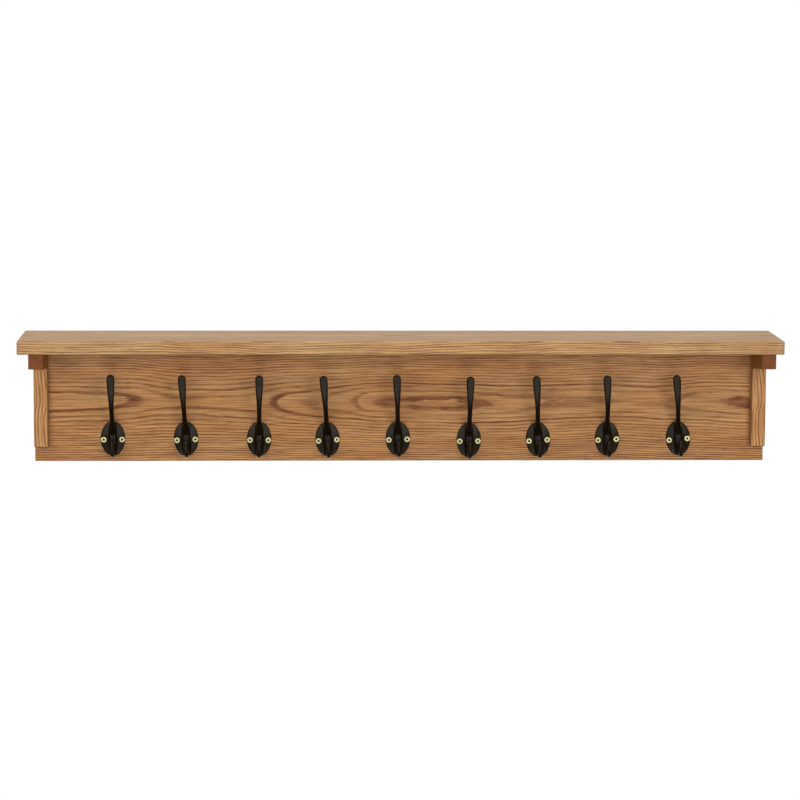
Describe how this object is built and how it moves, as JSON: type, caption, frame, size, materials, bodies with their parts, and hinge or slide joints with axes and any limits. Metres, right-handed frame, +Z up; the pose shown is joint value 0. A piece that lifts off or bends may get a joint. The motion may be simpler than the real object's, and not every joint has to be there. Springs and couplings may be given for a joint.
{
  "type": "wall hook rack",
  "caption": "Oak wall rack: a shelf over a long back board with bracketed ends and a row of two-prong cast-iron coat hooks",
  "frame": {"origin": "centre of the back board's back face, on the wall", "axes": "+X along the rack to the right seen from the front, +Y into the wall, +Z up"},
  "size_m": [1.12, 0.15, 0.195],
  "materials": {
    "oak_board": "satin oiled flat-sawn oak, grain along the board",
    "oak_shelf": "satin oiled oak, grain along the board",
    "oak_bracket": "satin oiled oak, grain along each bar",
    "beech_dowel": "plain turned beech",
    "cast_iron": "dark brown-black satin, lightly pebbled casting",
    "brass_screw": "bright yellow brass",
    "steel_screw": "bright zinc-plated steel",
    "steel_plate": "zinc-plated pressed steel"
  },
  "bodies": {
    "root": {"back_board": "oak_board", "shelf": "oak_shelf", "bracket_arm_left": "oak_bracket", "bracket_upright_left": "oak_bracket", "bracket_arm_right": "oak_bracket", "bracket_upright_right": "oak_bracket", "shelf_dowels": "beech_dowel", "bracket_dowel_left": "beech_dowel", "upright_screws_left": "steel_screw", "arm_end_screw_left": "steel_screw", "arm_shelf_screws_left": "steel_screw", "hanger_plate_left": "steel_plate", "hanger_screws_left": "steel_screw", "bracket_dowel_right": "beech_dowel", "upright_screws_right": "steel_screw", "arm_end_screw_right": "steel_screw", "arm_shelf_screws_right": "steel_screw", "hanger_plate_right": "steel_plate", "hanger_screws_right": "steel_screw", "coat_hook_1": "cast_iron", "coat_hook_2": "cast_iron", "coat_hook_3": "cast_iron", "coat_hook_4": "cast_iron", "coat_hook_5": "cast_iron", "coat_hook_6": "cast_iron", "coat_hook_7": "cast_iron", "coat_hook_8": "cast_iron", "coat_hook_9": "cast_iron", "hook_screws_1": "brass_screw", "hook_screws_2": "brass_screw", "hook_screws_3": "brass_screw", "hook_screws_4": "brass_screw", "hook_screws_5": "brass_screw", "hook_screws_6": "brass_screw", "hook_screws_7": "brass_screw", "hook_screws_8": "brass_screw", "hook_screws_9": "brass_screw"}
  },
  "joints": []
}
